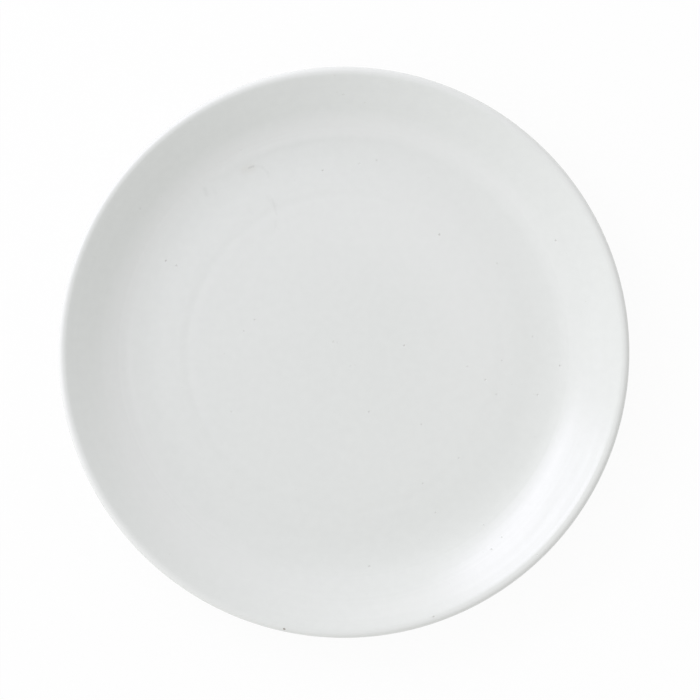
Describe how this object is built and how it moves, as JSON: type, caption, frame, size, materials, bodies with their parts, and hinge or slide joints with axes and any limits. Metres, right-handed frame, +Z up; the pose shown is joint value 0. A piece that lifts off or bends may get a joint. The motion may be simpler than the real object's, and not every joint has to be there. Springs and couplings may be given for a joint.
{
  "type": "coupe dinner plate",
  "caption": "Round coupe dinner plate with a flat floor, a wall that sweeps up to a full-round lip without a separate rim, and a low foot ring.",
  "frame": {"origin": "centre of the circle that the foot ring rests on", "axes": "+Z up along the plate's axis of symmetry, out of the eating face; +X and +Y lie in the resting plane and are alike"},
  "size_m": [0.273, 0.273, 0.0251],
  "materials": {
    "bare_stoneware": "bare fired clay, ground smooth",
    "matt_white_glaze": "matt to satin white glaze with a few fine pinholes"
  },
  "bodies": {
    "root": {"stoneware_body": "bare_stoneware", "glaze_coat": "matt_white_glaze", "base_glaze": "matt_white_glaze"}
  },
  "joints": []
}
